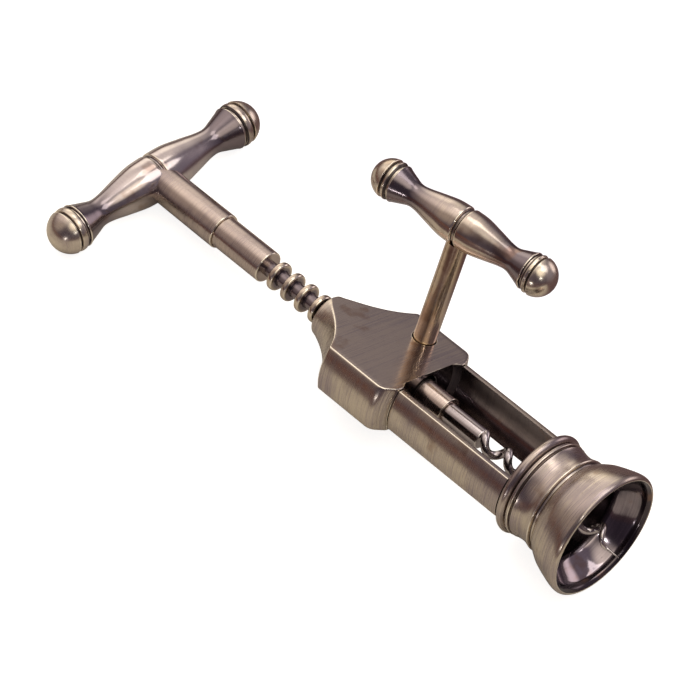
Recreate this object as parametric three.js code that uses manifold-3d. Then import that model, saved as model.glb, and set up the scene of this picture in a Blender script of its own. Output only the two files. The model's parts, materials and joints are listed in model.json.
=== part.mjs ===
// A side-wind rack-and-pinion corkscrew in antique bronze, in millimetres, +Z up.
//
// Each piece is built straight, in a tool frame of its own: X runs along the spindle towards the
// bell, whose mouth is X = 0, Z runs up the side shaft, and Y completes the frame. Two outer
// groups then lay the whole tool down on the bell's lip and the balls of the main handle.

import * as THREE from 'three';
import { mergeVertices } from 'three/addons/utils/BufferGeometryUtils.js';
import Module from 'manifold-3d';

const wasm = await Module();
wasm.setup();

// ---- driving dimensions ----------------------------------------------------------------------

const GAP = 0.3;            // clearance between neighbouring pieces
const BORE_R = 5.05;        // bore of the housing, a sliding fit on the rack head

// Housing: a turned body with a cove behind its neck, cut flat above and below.
const NECK_X = -105.6;
const NECK_R = 6.4;
const COVE_X = -104.6;
const BODY_X = -89.2;
const BODY_R = 19.15;
const HOUSING_END_X = -66.6;
const HOUSING_TOP = 6.2;
const HOUSING_BOTTOM = -8.2;

// Frame: two walls left from a tube, between the housing and the collar.
const FRAME_R = 15.1;
const FRAME_BORE_R = 13.5;
const FLOOR_R = 11.4;       // of the coned recess that carries the bore of the frame into the housing
const FRAME_TOP = 5.9;
const FRAME_BOTTOM = -6.8;
const COLLAR_X = -25.6;
const BEAD_R = 15.5;
const NECKING_X = -22.0;
const BELL_BORE_R = 12.6;
const WAIST_R = 14.0;
const BOWL_X = -13.4;
const LIP_R = 19.1;
const LIP_ROUND = 1.0;
const MOUTH_R = 17.1;

// Rack: rings on a hollow core, in place of straight teeth, so that it can also turn.
const RING_PITCH = 5.485;
const RING_COUNT = 10;
const FIRST_RING_X = -124.8;
const RING_R = 4.35;
const RING_HALF = 1.0;
const CORE_R = 2.3;
const RACK_BORE_R = 1.8;
const HEAD_START_X = -147.2;
const HEAD_END_X = -129.2;
const HEAD_R = 4.8;
const SLEEVE_R = 4.15;
const SLEEVE_END_X = -58.2;

// Spindle: main handle, hub, rod and worm, which turn together.
const HANDLE_X = -176.5;
const HANDLE_TURN = THREE.MathUtils.degToRad(19.2);
const HUB_R = 5.4;
const ROD_R = 1.5;
const ROD_LOW_R = 3.05;
const ROD_END_X = -45.5;
const WORM_R = 1.95;
const WIRE_R = 1.2;
const WORM_PITCH = 8.64;
const WORM_PHASE_X = -36.96;
const WORM_TIP_X = 6.4;
const WORM_STRAIGHT_X = 1.7;

// Side winder: handle, shaft and pinion.
const PINION_X = -80.2;
const PINION_Y = 11.0;
const PINION_TEETH = 8;
const PINION_TIP_R = 7.7;
const PINION_ROOT_R = 5.6;
const PINION_HALF = 3.0;
const CHAMBER_R = 8.1;
const SHAFT_R = 3.25;
const JOURNAL_R = 2.4;
const SCREW_HEAD_R = 3.3;
const SCREW_HEAD = 1.3;
const SCREW_R = 1.1;
const SCREW_END_Z = -3.5;
const PIN_R = 0.75;
const SIDE_Z = 43.5;
const SIDE_TURN = THREE.MathUtils.degToRad(6.4);

// Both handles are the same turned shape at two sizes.
const MAIN = {
  ball: 31.3, ballR: 6.8, waistR: 6.85, neckR: 4.1, neck: 21.5, beadR: 6.6, bead: 29.2, groove: 32.4,
};
const SIDE = {
  ball: 25.0, ballR: 5.8, waistR: 5.8, neckR: 3.5, neck: 16.8, beadR: 5.6, bead: 22.9, groove: 25.1,
};

// ---- materials ---------------------------------------------------------------------------------

const bronze = { color: 0x8c7d70, roughness: 0.34, metalness: 1 };
const polished = { color: 0x9a8c82, roughness: 0.18, metalness: 1 };
const gilt = { color: 0xb09a7c, roughness: 0.26, metalness: 1 };
const steel = { color: 0x77727a, roughness: 0.3, metalness: 1 };

// ---- helpers -----------------------------------------------------------------------------------

function bare(geometry) {
  const copy = geometry.clone();
  copy.deleteAttribute('normal');
  copy.deleteAttribute('uv');
  return mergeVertices(copy, 1e-5);
}

function volumeOf(geometry) {
  const position = geometry.getAttribute('position');
  const [a, b, c] = [new THREE.Vector3(), new THREE.Vector3(), new THREE.Vector3()];
  let volume = 0;
  for (let i = 0; i < geometry.index.count; i += 3) {
    a.fromBufferAttribute(position, geometry.index.getX(i));
    b.fromBufferAttribute(position, geometry.index.getX(i + 1));
    c.fromBufferAttribute(position, geometry.index.getX(i + 2));
    volume += a.dot(b.cross(c)) / 6;
  }
  return volume;
}

// Turns a closed surface inside out when its faces point inwards.
function outward(geometry) {
  if (volumeOf(geometry) < 0) {
    const index = geometry.index.array;
    for (let i = 0; i < index.length; i += 3) [index[i], index[i + 1]] = [index[i + 1], index[i]];
  }
  return geometry;
}

function solid(geometry) {
  const clean = outward(bare(geometry));
  const vertProperties = new Float32Array(clean.getAttribute('position').array);
  const triVerts = new Uint32Array(clean.index.array);
  return new wasm.Manifold(new wasm.Mesh({ numProp: 3, vertProperties, triVerts }));
}

function geometryOf(manifold) {
  const mesh = manifold.getMesh();
  const geometry = new THREE.BufferGeometry();
  geometry.setAttribute('position', new THREE.BufferAttribute(new Float32Array(mesh.vertProperties), 3));
  geometry.setIndex(new THREE.BufferAttribute(new Uint32Array(mesh.triVerts), 1));
  return geometry;
}

function piece(name, geometry, look) {
  const shown = geometry.index && !geometry.getAttribute('uv') ? geometry : outward(bare(geometry));
  shown.computeVertexNormals();
  const mesh = new THREE.Mesh(shown, new THREE.MeshStandardMaterial(look));
  mesh.name = name;
  return mesh;
}

// Turns a profile of (distance along the axis, radius) points about +X.
function turnedX(points, segments = 40) {
  const profile = points.map(([along, radius]) => new THREE.Vector2(radius, along));
  return new THREE.LatheGeometry(profile, segments).rotateZ(-Math.PI / 2);
}

function tubeX(x0, x1, inner, outer, segments = 40) {
  return turnedX([[x0, inner], [x0, outer], [x1, outer], [x1, inner], [x0, inner]], segments);
}

function rodX(x0, x1, radius, edge = 0, segments = 32) {
  return turnedX([[x0, 0], [x0, radius - edge], [x0 + edge, radius],
    [x1 - edge, radius], [x1, radius - edge], [x1, 0]], segments);
}

function rodZ(x, y, z0, z1, radius, segments = 32) {
  const cylinder = new THREE.CylinderGeometry(radius, radius, z1 - z0, segments);
  return cylinder.rotateX(Math.PI / 2).translate(x, y, (z0 + z1) / 2);
}

function block(x0, x1, y0, y1, z0, z1) {
  const box = new THREE.BoxGeometry(x1 - x0, y1 - y0, z1 - z0);
  return box.translate((x0 + x1) / 2, (y0 + y1) / 2, (z0 + z1) / 2);
}

// Points of a quadratic curve from a to b, bent towards the control point.
function bend(a, control, b, steps) {
  const curve = new THREE.QuadraticBezierCurve(
    new THREE.Vector2(...a), new THREE.Vector2(...control), new THREE.Vector2(...b));
  return curve.getPoints(steps).map((p) => [p.x, p.y]);
}

// Points of an arc about (cx, cr), angles in degrees from +X.
function arc(cx, cr, radius, from, to, steps) {
  const points = [];
  for (let i = 0; i <= steps; i += 1) {
    const angle = THREE.MathUtils.degToRad(from + (to - from) * (i / steps));
    points.push([cx + radius * Math.cos(angle), cr + radius * Math.sin(angle)]);
  }
  return points;
}

// ---- barrel: housing, frame, collar and bell -----------------------------------------------------

function makeHousing() {
  const chamferX = HOUSING_END_X - 2.6;
  const floorX = HOUSING_END_X - 1.4;
  const profile = [
    [NECK_X, BORE_R], [NECK_X, NECK_R - 0.9], [NECK_X + 0.35, NECK_R - 0.3],
    ...bend([COVE_X, NECK_R], [-94.3, 9.8], [BODY_X, BODY_R], 9),
    [chamferX, BODY_R], [HOUSING_END_X, FRAME_R], [HOUSING_END_X, FRAME_BORE_R],
    [floorX, FLOOR_R], [floorX, BORE_R], [NECK_X, BORE_R],
  ];
  const flats = block(NECK_X - 1, HOUSING_END_X + 1, -30, 30, HOUSING_BOTTOM, HOUSING_TOP);
  const chamberZ = PINION_HALF + 0.4;
  const tools = [
    rodZ(PINION_X, PINION_Y, -chamberZ, chamberZ, CHAMBER_R),
    block(PINION_X - CHAMBER_R, PINION_X + CHAMBER_R, PINION_Y, 30, -chamberZ, chamberZ),
    rodZ(PINION_X, PINION_Y, 0, 30, SHAFT_R + GAP, 24),
    rodZ(PINION_X, PINION_Y, -30, 0, JOURNAL_R + GAP, 24),
    rodZ(PINION_X, PINION_Y, -30, HOUSING_BOTTOM + SCREW_HEAD + GAP, SCREW_HEAD_R + GAP, 24),
  ];
  const body = solid(turnedX(profile, 48)).intersect(solid(flats));
  const cut = tools.reduce((left, tool) => left.subtract(solid(tool)), body);
  return piece('housing', geometryOf(cut), bronze);
}

function makeFrameWall(name, side) {
  const tube = tubeX(HOUSING_END_X + GAP, COLLAR_X - GAP, FRAME_BORE_R, FRAME_R, 64);
  const [y0, y1] = side < 0 ? [-30, 0] : [0, 30];
  const keep = block(HOUSING_END_X, COLLAR_X, y0, y1, FRAME_BOTTOM, FRAME_TOP);
  return piece(name, geometryOf(solid(tube).intersect(solid(keep))), bronze);
}

function makeCollar() {
  const end = NECKING_X - GAP;
  const round = 1.65;
  const profile = [
    [COLLAR_X, BELL_BORE_R], [COLLAR_X, BEAD_R - round],
    ...arc(COLLAR_X + round, BEAD_R - round, round, 165, 40, 6),
    [end, BEAD_R - round], [end, BELL_BORE_R], [COLLAR_X, BELL_BORE_R],
  ];
  return piece('collar_bead', turnedX(profile, 40), bronze);
}

function makeNecking() {
  const end = BOWL_X - GAP;
  const profile = [
    [NECKING_X, BELL_BORE_R], [NECKING_X, 14.5], [NECKING_X + 0.8, 14.5],
    ...bend([NECKING_X + 1.3, 14.3], [-18.2, WAIST_R - 0.4], [end - 0.6, 14.2], 4),
    [end, 13.8], [end, BELL_BORE_R], [NECKING_X, BELL_BORE_R],
  ];
  return piece('bell_necking', turnedX(profile, 40), bronze);
}

function makeBowl() {
  const lip = LIP_R - LIP_ROUND;
  const profile = [
    [BOWL_X, BELL_BORE_R], [BOWL_X, 14.0],
    ...bend([BOWL_X + 0.2, 14.2], [-7.9, 18.0], [-LIP_ROUND, LIP_R], 7),
    ...arc(-LIP_ROUND, lip, LIP_ROUND, 60, 0, 2),
    [0, MOUTH_R + 0.4], [-0.5, MOUTH_R],
    ...bend([-2.6, MOUTH_R - 0.3], [-5.6, 15.6], [-8.6, BELL_BORE_R], 4),
    [BOWL_X, BELL_BORE_R],
  ];
  return piece('bell_bowl', turnedX(profile, 40), bronze);
}

// ---- rack ----------------------------------------------------------------------------------------

function makeRackHead() {
  const x0 = HEAD_START_X;
  const x1 = HEAD_END_X;
  const profile = [[x0, RACK_BORE_R], [x0, HEAD_R - 0.3], [x0 + 0.3, HEAD_R],
    [x1 - 0.5, HEAD_R], [x1, HEAD_R - 0.5], [x1, RACK_BORE_R], [x0, RACK_BORE_R]];
  return piece('rack_head', turnedX(profile, 32), bronze);
}

function makeRackRings() {
  const start = HEAD_END_X + GAP;
  const end = FIRST_RING_X + RING_PITCH * RING_COUNT - RING_HALF - GAP;
  const profile = [[start, RACK_BORE_R], [start, CORE_R]];
  for (let i = 0; i < RING_COUNT; i += 1) {
    const x = FIRST_RING_X + RING_PITCH * i;
    profile.push([x - RING_HALF, CORE_R], [x - RING_HALF * 0.7, RING_R],
      [x + RING_HALF * 0.7, RING_R], [x + RING_HALF, CORE_R]);
  }
  profile.push([end, CORE_R], [end, RACK_BORE_R], [start, RACK_BORE_R]);
  return piece('rack_rings', turnedX(profile, 20), polished);
}

function makeRackSleeve() {
  const start = FIRST_RING_X + RING_PITCH * RING_COUNT - RING_HALF;
  const profile = [[start, RACK_BORE_R], [start, SLEEVE_R - 0.5], [start + 0.5, SLEEVE_R],
    [SLEEVE_END_X - 0.3, SLEEVE_R], [SLEEVE_END_X, SLEEVE_R - 0.3],
    [SLEEVE_END_X, RACK_BORE_R], [start, RACK_BORE_R]];
  return piece('rack_sleeve', turnedX(profile, 32), gilt);
}

// ---- handles -------------------------------------------------------------------------------------

// Profile of the bar between its two balls, from one end to the other, grown outwards by extra.
function barProfile(size, extra = 0) {
  const half = [
    [size.bead, 0], [size.bead, size.beadR - 0.35], [size.bead - 0.5, size.beadR],
    [size.bead - 1.4, size.beadR - 0.15],
    ...bend([size.bead - 2.2, size.beadR - 0.9], [size.neck + 2, size.neckR], [size.neck, size.neckR], 3),
    ...bend([size.neck - 3, size.neckR + 0.25], [size.neck * 0.3, size.waistR], [1.6, size.waistR], 5),
    [0.55, size.waistR], [0.3, size.waistR - 0.35],
  ];
  const grown = half.map(([along, radius]) => [along, radius === 0 ? 0 : radius + extra]);
  const mirrored = grown.map(([along, radius]) => [-along, radius]);
  return [...mirrored, ...grown.reverse()];
}

function makeBar(name, size, look) {
  return piece(name, turnedX(barProfile(size), 24), look);
}

// The ball, with a bead and a groove on its inner side. side is -1 or 1 along the bar.
function makeBall(name, size, side, look) {
  const start = size.bead + GAP;
  const groove = size.groove;
  const first = Math.acos((groove + 0.5 - size.ball) / size.ballR);
  const profile = [
    [start, 0], [start, size.beadR - 0.3], [start + 0.5, size.beadR + 0.05],
    [groove - 0.4, size.beadR + 0.1], [groove, size.beadR - 0.2],
    ...arc(size.ball, 0, size.ballR, THREE.MathUtils.radToDeg(first), 0, 7),
  ];
  profile[profile.length - 1][1] = 0;
  return piece(name, turnedX(profile.map(([along, radius]) => [side * along, radius]), 20), look);
}

function makeHandle(prefix, size, look) {
  const group = new THREE.Group();
  group.add(makeBar(`${prefix}_bar`, size, look));
  group.add(makeBall(`${prefix}_ball_left`, size, -1, look));
  group.add(makeBall(`${prefix}_ball_right`, size, 1, look));
  return group;
}

// ---- spindle -------------------------------------------------------------------------------------

function mainHandleMatrix() {
  const along = new THREE.Vector3(0, Math.cos(HANDLE_TURN), Math.sin(HANDLE_TURN));
  const up = new THREE.Vector3(1, 0, 0);
  const matrix = new THREE.Matrix4().makeBasis(along, up, along.clone().cross(up));
  return matrix.setPosition(HANDLE_X, 0, 0);
}

function makeHub() {
  const end = HEAD_START_X - GAP;
  const profile = [[HANDLE_X, 0], [HANDLE_X, HUB_R - 0.2], [end - 0.35, HUB_R], [end, HUB_R - 0.35],
    [end, ROD_R + GAP], [end - 6, ROD_R + GAP], [end - 6, 0]];
  const bar = turnedX(barProfile(MAIN, GAP), 24).applyMatrix4(mainHandleMatrix());
  return piece('spindle_hub', geometryOf(solid(turnedX(profile, 32)).subtract(solid(bar))), bronze);
}

function makeRod() {
  const shoulder = SLEEVE_END_X + GAP;
  const profile = [[HEAD_START_X - GAP - 5.5, 0], [HEAD_START_X - GAP - 5.5, ROD_R], [shoulder, ROD_R],
    [shoulder, ROD_LOW_R - 0.2], [shoulder + 0.2, ROD_LOW_R], [ROD_END_X - GAP, ROD_LOW_R],
    [ROD_END_X - GAP, 0]];
  return piece('spindle_rod', turnedX(profile, 28), steel);
}

// The centre line of the worm: a right-handed helix whose last stretch straightens to the point.
class WormLine extends THREE.Curve {
  getPoint(t, target = new THREE.Vector3()) {
    const start = ROD_END_X + 1.0;
    const x = start + (WORM_TIP_X - start) * t;
    const ease = 0.6;
    const past = Math.max(0, x - WORM_STRAIGHT_X);
    const turned = Math.min(x, WORM_STRAIGHT_X) - WORM_PHASE_X + ease * (1 - Math.exp(-past / ease));
    const angle = 0.906 + (2 * Math.PI * turned) / WORM_PITCH;
    return target.set(x, WORM_R * Math.cos(angle), WORM_R * Math.sin(angle));
  }
}

function makeWorm() {
  const line = new WormLine();
  const steps = 72;
  const section = new THREE.Shape().absarc(0, 0, WIRE_R, 0, 2 * Math.PI);
  const wire = new THREE.ExtrudeGeometry(section, {
    extrudePath: line, steps, curveSegments: 5, bevelEnabled: false,
  });
  const centres = line.getSpacedPoints(steps);
  const position = wire.getAttribute('position');
  const point = new THREE.Vector3();
  for (let i = 0; i < position.count; i += 1) {
    point.fromBufferAttribute(position, i);
    const distances = centres.map((centre) => centre.distanceTo(point));
    const nearest = distances.indexOf(Math.min(...distances));
    const left = (steps - nearest) / steps;
    const scale = Math.max(0.1, Math.min(1, left / 0.16));
    point.sub(centres[nearest]).multiplyScalar(scale).add(centres[nearest]);
    position.setXYZ(i, point.x, point.y, point.z);
  }
  const root = turnedX([[ROD_END_X, 0], [ROD_END_X, ROD_LOW_R], [ROD_END_X + 1.8, ROD_LOW_R],
    [ROD_END_X + 3.0, ROD_LOW_R - 0.5], [ROD_END_X + 3.8, 0.9], [ROD_END_X + 3.8, 0]], 28);
  return piece('worm', geometryOf(solid(root).add(solid(wire))), steel);
}

function makeSpindle() {
  const group = new THREE.Group();
  group.add(makeHub(), makeRod(), makeWorm());
  const handle = makeHandle('main', MAIN, polished);
  handle.applyMatrix4(mainHandleMatrix());
  group.add(handle);
  return group;
}

// ---- side winder ---------------------------------------------------------------------------------

function sideHandleMatrix() {
  return new THREE.Matrix4().makeRotationZ(SIDE_TURN).setPosition(PINION_X, PINION_Y, SIDE_Z);
}

// A pin along X through the pinion and the shaft.
function crossPin(radius) {
  const length = 2 * (PINION_ROOT_R - 0.6);
  const pin = new THREE.CylinderGeometry(radius, radius, length, 12);
  return pin.rotateZ(Math.PI / 2).translate(PINION_X, PINION_Y, 0);
}

function makeShaft() {
  const shoulder = PINION_HALF + GAP;
  const foot = HOUSING_BOTTOM + SCREW_HEAD + 2 * GAP;
  const upper = solid(rodZ(PINION_X, PINION_Y, shoulder, SIDE_Z, SHAFT_R));
  const journal = solid(rodZ(PINION_X, PINION_Y, foot, shoulder + 1, JOURNAL_R, 24));
  const tools = [
    turnedX(barProfile(SIDE, GAP), 24).applyMatrix4(sideHandleMatrix()),
    crossPin(PIN_R + GAP / 2),
    rodZ(PINION_X, PINION_Y, foot - 1, SCREW_END_Z + GAP, SCREW_R + GAP, 16),
  ];
  const cut = tools.reduce((left, tool) => left.subtract(solid(tool)), upper.add(journal));
  return piece('side_shaft', geometryOf(cut), bronze);
}

// The screw in the foot of the shaft, whose head lies flush in the bottom of the housing.
function makeFootScrew() {
  const headTop = HOUSING_BOTTOM + SCREW_HEAD;
  const head = solid(rodZ(PINION_X, PINION_Y, HOUSING_BOTTOM, headTop, SCREW_HEAD_R, 24));
  const shank = solid(rodZ(PINION_X, PINION_Y, headTop - 0.5, SCREW_END_Z, SCREW_R, 16));
  const slotFloor = HOUSING_BOTTOM + 0.6;
  const slot = block(PINION_X - 5, PINION_X + 5, PINION_Y - 0.4, PINION_Y + 0.4, HOUSING_BOTTOM - 1, slotFloor);
  return piece('foot_screw', geometryOf(head.add(shank).subtract(solid(slot))), steel);
}

function makePinion() {
  const outline = new THREE.Shape();
  const step = (2 * Math.PI) / PINION_TEETH;
  const gapX = FIRST_RING_X + RING_PITCH * 8.5;
  const pitchR = (PINION_TEETH * RING_PITCH) / (2 * Math.PI);
  const mesh = -Math.PI / 2 + (gapX - PINION_X) / pitchR;
  const corners = [[-0.26, PINION_ROOT_R], [-0.1, PINION_TIP_R], [0.1, PINION_TIP_R], [0.26, PINION_ROOT_R]];
  for (let tooth = 0; tooth < PINION_TEETH; tooth += 1) {
    corners.forEach(([offset, radius], corner) => {
      const angle = mesh + tooth * step + offset;
      const [x, y] = [radius * Math.cos(angle), radius * Math.sin(angle)];
      if (tooth === 0 && corner === 0) outline.moveTo(x, y);
      else outline.lineTo(x, y);
    });
  }
  outline.closePath();
  outline.holes.push(new THREE.Path().absarc(0, 0, JOURNAL_R + GAP, 0, 2 * Math.PI, true));
  const gear = new THREE.ExtrudeGeometry(outline, {
    depth: 2 * PINION_HALF, bevelEnabled: false, curveSegments: 12,
  }).translate(PINION_X, PINION_Y, -PINION_HALF);
  return piece('pinion', geometryOf(solid(gear).subtract(solid(crossPin(PIN_R + GAP / 2)))), steel);
}

function makeWinder() {
  const group = new THREE.Group();
  group.add(makeShaft(), makePinion(), piece('pinion_pin', crossPin(PIN_R), steel), makeFootScrew());
  const handle = makeHandle('side', SIDE, polished);
  handle.applyMatrix4(sideHandleMatrix());
  group.add(handle);
  return group;
}

// ---- the tool, laid down -------------------------------------------------------------------------

const tool = new THREE.Group();
tool.add(makeHousing(), makeFrameWall('frame_wall_front', -1), makeFrameWall('frame_wall_back', 1));
tool.add(makeCollar(), makeNecking(), makeBowl());
tool.add(makeRackHead(), makeRackRings(), makeRackSleeve());
tool.add(makeSpindle(), makeWinder());

// Rolled until the main handle is level, then tipped until the balls and the lip touch the floor.
const lipToHandle = -LIP_ROUND - HANDLE_X;
const slope = Math.atan(LIP_R / lipToHandle);
const tilt = slope - Math.asin(MAIN.ballR / Math.hypot(lipToHandle, LIP_R));
tool.rotation.x = -HANDLE_TURN;
const lying = new THREE.Group();
lying.rotation.y = -tilt;
lying.add(tool);

const part = new THREE.Group();
part.add(lying);
part.updateMatrixWorld(true);
const bounds = new THREE.Box3().setFromObject(part, true);
const centre = bounds.getCenter(new THREE.Vector3());
lying.position.set(-centre.x, -centre.y, -bounds.min.z);
part.updateMatrixWorld(true);

export default part;
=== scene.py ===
"""Looks for a side-wind rack corkscrew in antique bronze: fine turned pieces, brushed and polished metal."""

import json
import math

import bmesh
import bpy
from mathutils import Matrix, Vector


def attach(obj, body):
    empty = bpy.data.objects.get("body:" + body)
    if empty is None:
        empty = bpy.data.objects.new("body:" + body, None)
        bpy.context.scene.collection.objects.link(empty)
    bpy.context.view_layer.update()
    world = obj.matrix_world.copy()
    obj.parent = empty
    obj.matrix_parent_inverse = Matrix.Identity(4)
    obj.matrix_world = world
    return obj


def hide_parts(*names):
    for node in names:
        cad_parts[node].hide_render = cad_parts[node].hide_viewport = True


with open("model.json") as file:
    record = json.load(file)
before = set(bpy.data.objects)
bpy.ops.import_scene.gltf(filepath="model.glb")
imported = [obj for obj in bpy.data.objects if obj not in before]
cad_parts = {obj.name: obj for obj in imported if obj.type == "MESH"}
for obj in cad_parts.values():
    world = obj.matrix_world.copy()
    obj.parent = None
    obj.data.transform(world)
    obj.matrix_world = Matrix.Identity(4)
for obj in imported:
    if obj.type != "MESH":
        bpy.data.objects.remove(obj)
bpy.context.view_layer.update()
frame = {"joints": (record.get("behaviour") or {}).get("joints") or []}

MM = 0.001

# ---- the tool's own frame, from its joints: X along the spindle to the mouth, Z up the side shaft ----

JOINTS = {joint["name"]: joint for joint in frame["joints"]}
ALONG = Vector(JOINTS["rack_slide"]["axis"]).normalized()
UP = Vector(JOINTS["crank_turn"]["axis"]).normalized()
TOOL = Matrix((ALONG, UP.cross(ALONG), UP)).transposed().to_4x4()
TOOL.translation = Vector(JOINTS["screw_turn"]["pos_m"])

# ---- driving dimensions, in millimetres in the tool's frame ----

BORE_R = 5.05
NECK_X, NECK_R, NECK_ROUND = -105.6, 6.4, 0.9
COVE_X, COVE_BEND = -104.6, (-94.3, 9.8)
BODY_X, BODY_R, BODY_ROUND = -89.2, 19.15, 0.6
HOUSING_END_X, HOUSING_TOP, HOUSING_BOTTOM = -66.6, 6.2, -8.2
CHAMFER, CHAMFER_ROUND, RECESS_DEPTH = 2.6, 1.7, 1.4
FRAME_R, FRAME_BORE_R, FLOOR_R = 15.1, 13.5, 11.4
FRAME_TOP, FRAME_BOTTOM = 5.9, -6.8
COLLAR_X, BEAD_R, BAND_R, GROOVE_R = -25.6, 15.5, 14.7, 13.75
NECKING_X, WAIST_X, WAIST_R, BELL_BORE_R = -22.0, -17.2, 14.0, 12.6
BOWL_X, LIP_R, MOUTH_R, THROAT_X = -13.4, 19.1, 17.1, -8.5

RING_PITCH, RING_COUNT, FIRST_RING_X = 5.485, 10, -124.8
RING_R, RING_HALF, CORE_R, RACK_BORE_R = 4.35, 1.0, 2.3, 1.8
HEAD_START_X, HEAD_END_X, HEAD_R = -147.2, -129.2, 4.8
SLEEVE_R, SLEEVE_END_X = 4.15, -58.2

HANDLE_X, HANDLE_TURN = -176.5, math.radians(19.2)
HUB_R = 5.4
ROD_R, ROD_LOW_R, ROD_END_X = 1.5, 3.05, -45.5
WORM_R, WIRE_R, WORM_PITCH, WORM_PHASE_X, WORM_PHASE = 1.95, 1.2, 8.64, -36.96, 0.906
WORM_TIP_X, WORM_STRAIGHT_X, WORM_EASE, WORM_TAPER = 6.4, 1.7, 0.6, 13.0

PINION_X, PINION_Y, PINION_TEETH = -80.2, 11.0, 8
PINION_TIP_R, PINION_ROOT_R, PINION_HALF, CHAMBER_R = 7.7, 5.6, 3.0, 8.1
SHAFT_R, JOURNAL_R, SCREW_HEAD_R, SCREW_HEAD, PIN_R = 3.25, 2.4, 3.3, 1.3, 0.75
SIDE_Z, SIDE_TURN = 43.5, math.radians(6.4)
GAP = 0.3

MAIN = {"ball": 31.3, "ball_r": 6.8, "waist_r": 6.85, "neck_r": 4.1, "neck": 21.5,
        "bead_r": 6.6, "bead": 29.2, "groove": 32.4}
SIDE = {"ball": 25.0, "ball_r": 5.8, "waist_r": 5.8, "neck_r": 3.5, "neck": 16.8,
        "bead_r": 5.6, "bead": 22.9, "groove": 25.1}

# ---- how finely the shapes are made ----

SHARP, HOUSING_SHARP = 35, 28  # degrees between two faces, above which their edge stays sharp
BELL_STEPS, BOWL_STEPS = 192, 224  # steps round the axis

# ---- outlines ----


def bezier(a, control, b, steps):
    """Points of a quadratic curve from a to b, bent towards control."""
    points = []
    for i in range(steps + 1):
        t = i / steps
        points.append(tuple((1 - t) ** 2 * p + 2 * t * (1 - t) * c + t * t * q
                            for p, c, q in zip(a, control, b)))
    return points


def smooth(points, steps):
    """A Catmull-Rom curve through the points."""
    padded = [points[0], *points, points[-1]]
    curve = []
    for p0, p1, p2, p3 in zip(padded, padded[1:], padded[2:], padded[3:]):
        for i in range(steps):
            t = i / steps
            curve.append(tuple(0.5 * (2 * b + (c - a) * t + (2 * a - 5 * b + 4 * c - d) * t * t
                                      + (3 * b - a - 3 * c + d) * t ** 3)
                               for a, b, c, d in zip(p0, p1, p2, p3)))
    return curve + [tuple(points[-1])]


def arc(centre, radius, start, end, steps):
    """Points of an arc, with its angles in degrees."""
    points = []
    for i in range(steps + 1):
        angle = math.radians(start + (end - start) * i / steps)
        points.append((centre[0] + radius * math.cos(angle), centre[1] + radius * math.sin(angle)))
    return points


def rounded(points, steps=4):
    """The outline with each corner that has a third value rounded by about that length."""
    outline = []
    for i, point in enumerate(points):
        size = point[2] if len(point) > 2 else 0
        here = Vector(point[:2])
        if size == 0:
            outline.append(tuple(here))
            continue
        before, after = Vector(points[i - 1][:2]), Vector(points[(i + 1) % len(points)][:2])
        a = here + (before - here).normalized() * min(size, (before - here).length / 2)
        b = here + (after - here).normalized() * min(size, (after - here).length / 2)
        outline.extend(bezier(tuple(a), tuple(here), tuple(b), steps))
    return outline


# ---- meshes ----


def finish_mesh(name, bm, place, sharp=SHARP):
    """An object from the mesh, which is in millimetres in its own frame, set down at place."""
    bmesh.ops.remove_doubles(bm, verts=bm.verts, dist=1e-4)
    bmesh.ops.dissolve_degenerate(bm, edges=bm.edges, dist=1e-4)
    bmesh.ops.recalc_face_normals(bm, faces=bm.faces)
    bmesh.ops.transform(bm, verts=bm.verts, matrix=place @ Matrix.Scale(MM, 4))
    mesh = bpy.data.meshes.new(name)
    bm.to_mesh(mesh)
    bm.free()
    piece = bpy.data.objects.new(name, mesh)
    bpy.context.scene.collection.objects.link(piece)
    mark_surface(piece, place, sharp)
    return piece


def mark_surface(piece, place, sharp=SHARP):
    """Smooths the faces, and stores for each point what its material needs.

    bend is how sharply the surface turns out or in there, per millimetre, spot is the place in the piece's
    own frame, whose X is the axis it was turned about, and lay is the way the brushing runs.
    """
    least_span = 0.15
    mesh = piece.data
    bm = bmesh.new()
    bm.from_mesh(mesh)
    back = place.inverted()
    bends, spots, lays = [], [], []
    for vertex in bm.verts:
        bend = 0.0
        for edge in vertex.link_edges:
            if len(edge.link_faces) != 2:
                continue
            one, other = edge.link_faces
            span = (one.calc_center_median() - other.calc_center_median()).length / MM
            turn = edge.calc_face_angle_signed(0.0) / max(span, least_span)
            if abs(turn) > abs(bend):
                bend = turn
        bends.append(bend)
        spot = back @ vertex.co
        spots.extend(spot)
        across = Vector((0, -spot.z, spot.y))
        lays.extend(place.to_3x3() @ (across.normalized() if across.length > 1e-6 else Vector((0, 1, 0))))
    bm.free()
    for name, kind, key, values in (("bend", "FLOAT", "value", bends),
                                    ("spot", "FLOAT_VECTOR", "vector", spots),
                                    ("lay", "FLOAT_VECTOR", "vector", lays)):
        layer = mesh.attributes.get(name) or mesh.attributes.new(name, kind, "POINT")
        layer.data.foreach_set(key, values)
    mesh.polygons.foreach_set("use_smooth", [True] * len(mesh.polygons))
    mesh.set_sharp_from_angle(angle=math.radians(sharp))


def turned_mesh(profile, steps):
    """A surface turned about X from (along, radius) points. It starts and ends on the axis, or closes."""
    bm = bmesh.new()
    closed = profile[0] == profile[-1]
    rings = []
    for along, radius in (profile[:-1] if closed else profile):
        if radius < 1e-4:
            rings.append([bm.verts.new((along, 0, 0))] * steps)
            continue
        ring = []
        for i in range(steps):
            angle = 2 * math.pi * i / steps
            ring.append(bm.verts.new((along, radius * math.cos(angle), radius * math.sin(angle))))
        rings.append(ring)
    pairs = list(zip(rings, rings[1:])) + ([(rings[-1], rings[0])] if closed else [])
    for one, other in pairs:
        for i in range(steps):
            j = (i + 1) % steps
            corners = list(dict.fromkeys((one[i], one[j], other[j], other[i])))
            if len(corners) > 2:
                bm.faces.new(corners)
    return bm


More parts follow.
